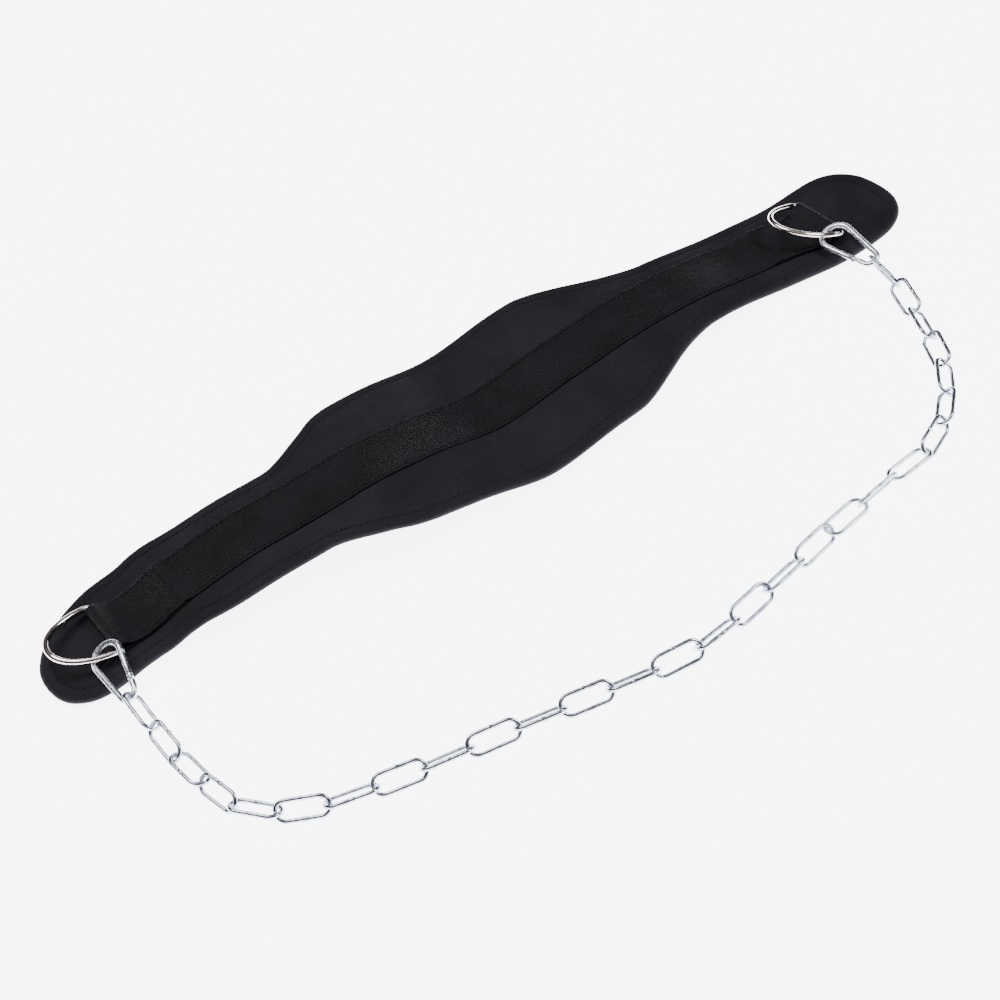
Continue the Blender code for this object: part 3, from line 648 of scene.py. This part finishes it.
def makeNeoprene():
    """Knitted cover over foam: fine loops, soft cloudy wear, a little fuzz."""
    look = neoprene
    material, tree, shader = newMaterial("neoprene", look["light"], 0.8, 0.0, look["specular"])
    place = addNode(tree, "ShaderNodeTexCoord").outputs["Object"]
    cloud = noise(tree, place, look["patch"], 4.0)
    knit = addNode(tree, "ShaderNodeTexVoronoi", {"Scale": look["knit"]}, {"Vector": place}).outputs["Distance"]
    grain = noise(tree, place, look["knit"] * 0.55, 3.0)
    mixed = addNode(tree, "ShaderNodeMath", {"operation": "MULTIPLY"}, {0: cloud, 1: grain}).outputs[0]
    tree.links.new(tinted(tree, ranged(tree, mixed, 0.0, 1.0, 0.12, 0.40), look["dark"], look["light"]),
                   shader.inputs["Base Color"])
    tree.links.new(ranged(tree, grain, *look["roughness"], 0.3, 0.7), shader.inputs["Roughness"])
    wave = bump(tree, cloud, 0.35, 0.0012)
    tree.links.new(bump(tree, knit, 0.35, 0.00025, wave), shader.inputs["Normal"])
    shader.inputs["Sheen Weight"].default_value = look["sheen"]
    shader.inputs["Sheen Roughness"].default_value = 0.5
    return material


def makeWebbingMaterial():
    """Woven strap: ribs along it crossed by weft threads, from its own cloth coordinates in metres, with painted
    shade darkening the weave's dips.
    """
    look = webbingLook
    material, tree, shader = newMaterial("webbing_weave", look["light"], 0.85, 0.0, look["specular"])
    cloth = addNode(tree, "ShaderNodeUVMap", {"uv_map": "cloth"}).outputs["UV"]
    split = addNode(tree, "ShaderNodeSeparateXYZ", None, {0: cloth})
    place = addNode(tree, "ShaderNodeTexCoord").outputs["Object"]

    def math_(operation, a, b=None):
        node = addNode(tree, "ShaderNodeMath", {"operation": operation})
        for slot, value in enumerate((a, b)):
            if value is None:
                continue
            if isinstance(value, float):
                node.inputs[slot].default_value = value
            else:
                tree.links.new(value, node.inputs[slot])
        return node.outputs[0]

    rib = math_("SINE", math_("MULTIPLY", split.outputs["Y"], 2 * math.pi / look["rib"]))
    ribSign = math_("SIGN", rib)
    shift = math_("MULTIPLY", ribSign, math.pi / 2)
    weft = math_("SINE", math_("ADD", math_("MULTIPLY", split.outputs["X"], 2 * math.pi / look["weft"]), shift))
    ribHeight = math_("ABSOLUTE", rib)
    weave = math_("ADD", math_("MULTIPLY", ribHeight, 0.6), math_("MULTIPLY", math_("ABSOLUTE", weft), 0.4))
    fuzz = noise(tree, place, 1500.0, 2.0)
    cloud = noise(tree, place, 30.0, 3.0)
    # colour darker in the weave's dips: painted shade between the ribs, plus random tone from cloud and fuzz
    weaveShadeAndTone = math_("ADD", math_("MULTIPLY", weave, 0.6), math_("MULTIPLY", math_("MULTIPLY", cloud, fuzz), 1.1))
    tree.links.new(tinted(tree, ranged(tree, weaveShadeAndTone, 0.0, 1.0, 0.35, 0.95), look["dark"], look["light"]),
                   shader.inputs["Base Color"])
    tree.links.new(ranged(tree, weave, look["roughness"][1], look["roughness"][0]), shader.inputs["Roughness"])
    threads = bump(tree, fuzz, 0.3, 0.0001)
    tree.links.new(bump(tree, weave, 1.0, 0.0006, threads), shader.inputs["Normal"])
    return material


def makeMetal(name, look, scratch):
    """Plated wire: uneven bright plating, fine drawn scratches, duller spots."""
    material, tree, shader = newMaterial(name, look["light"], 0.2, 1.0, 0.5)
    place = addNode(tree, "ShaderNodeTexCoord").outputs["Object"]
    cloud = noise(tree, place, 160.0, 4.0)
    fine = noise(tree, place, scratch, 3.0)
    tree.links.new(tinted(tree, ranged(tree, cloud, 0.0, 1.0, 0.32, 0.55), look["dark"], look["light"]),
                   shader.inputs["Base Color"])
    tree.links.new(ranged(tree, fine, *look["roughness"], 0.3, 0.7), shader.inputs["Roughness"])
    uneven = bump(tree, cloud, 0.10, 0.0006)
    tree.links.new(bump(tree, fine, 0.05, 0.0001, uneven), shader.inputs["Normal"])
    return material


def makeThread():
    look = threadLook
    material, tree, shader = newMaterial("thread", look["light"], 0.7, 0.0, 0.2)
    place = addNode(tree, "ShaderNodeTexCoord").outputs["Object"]
    twist = noise(tree, place, 2600.0, 2.0)
    tree.links.new(tinted(tree, twist, look["dark"], look["light"]), shader.inputs["Base Color"])
    tree.links.new(ranged(tree, twist, *look["roughness"]), shader.inputs["Roughness"])
    tree.links.new(bump(tree, twist, 0.4, 0.0001), shader.inputs["Normal"])
    return material


# --- camera, floor and light

def makeCamera():
    data = bpy.data.cameras.new("camera")
    data.lens = view["lens"]
    data.sensor_width = view["sensor"]
    camera = bpy.data.objects.new("camera", data)
    camera.location = view["place"]
    camera.rotation_euler = Euler([math.radians(a) for a in view["turn"]], "XYZ")
    bpy.context.scene.collection.objects.link(camera)
    bpy.context.scene.camera = camera


def makeFloor():
    half = stage["size"] / 2
    mesh = bpy.data.meshes.new("floor")
    corners = [(-half, -half, 0.0), (half, -half, 0.0), (half, half, 0.0), (-half, half, 0.0)]
    mesh.from_pydata(corners, [], [(0, 1, 2, 3)])
    floor = bpy.data.objects.new("floor", mesh)
    floor.location.z = -stage["lift"]
    bpy.context.scene.collection.objects.link(floor)
    material, tree, shader = newMaterial("floor", stage["colour"], 0.9, 0.0, 0.1)
    shader.inputs["Emission Color"].default_value = (1.0, 1.0, 1.0, 1.0)
    shader.inputs["Emission Strength"].default_value = stage["glow"]
    mesh.materials.append(material)


def makeLight():
    world = bpy.data.worlds.new("studio")
    bpy.context.scene.world = world
    world.use_nodes = True
    tree = world.node_tree
    background = tree.nodes["Background"]
    direction = addNode(tree, "ShaderNodeTexCoord").outputs["Generated"]
    height = addNode(tree, "ShaderNodeSeparateXYZ", None, {0: direction}).outputs["Z"]
    ramp = addNode(tree, "ShaderNodeValToRGB", None, {0: ranged(tree, height, 0.0, 1.0, -1.0, 1.0)})
    stops = ramp.color_ramp.elements
    while len(stops) < len(sky["band"]):
        stops.new(0.5)
    for stop, (place, level) in zip(stops, sky["band"]):
        stop.position = place
        stop.color = (level, level, level, 1.0)
    tree.links.new(ramp.outputs["Color"], background.inputs["Color"])
    background.inputs["Strength"].default_value = sky["strength"]
    for name, lamp in lamps.items():
        data = bpy.data.lights.new(name, "AREA")
        data.size = lamp["size"]
        data.energy = lamp["power"]
        data.color = lamp["colour"]
        light = bpy.data.objects.new(name, data)
        place = np.array(lamp["place"])
        light.location = lamp["place"]
        flat = math.hypot(place[0], place[1])
        light.rotation_euler = (0.0, math.atan2(flat, place[2]), math.atan2(place[1], place[0]))
        bpy.context.scene.collection.objects.link(light)


makeCamera()
makeFloor()
makeLight()
print("camera, floor and light made")

neopreneMaterial = makeNeoprene()
webbingMaterial = makeWebbingMaterial()
threadMaterial = makeThread()
nickelMaterial = makeMetal("nickel", nickelLook, 900.0)
zincMaterial = makeMetal("zinc", zincLook, 700.0)
hookMaterial = makeMetal("hook_zinc", hookLook, 700.0)
print("materials made")

makePad(neopreneMaterial)
makePadStitches(threadMaterial)
print("pad made")

bars = {"left": ringFrame("d_ring_left")[0][0], "right": ringFrame("d_ring_right")[0][0]}
makeStrap(webbingMaterial, bars)
makeStrapStitches(threadMaterial, bars)
print("webbing made")

makeRing("ring_left", "d_ring_left", nickelMaterial)
makeRing("ring_right", "d_ring_right", nickelMaterial)
makeHook("left", hookMaterial)
makeHook("right", hookMaterial)
for number in range(1, 29):
    makeLink(number, zincMaterial)
print("rings, hooks and chain made")
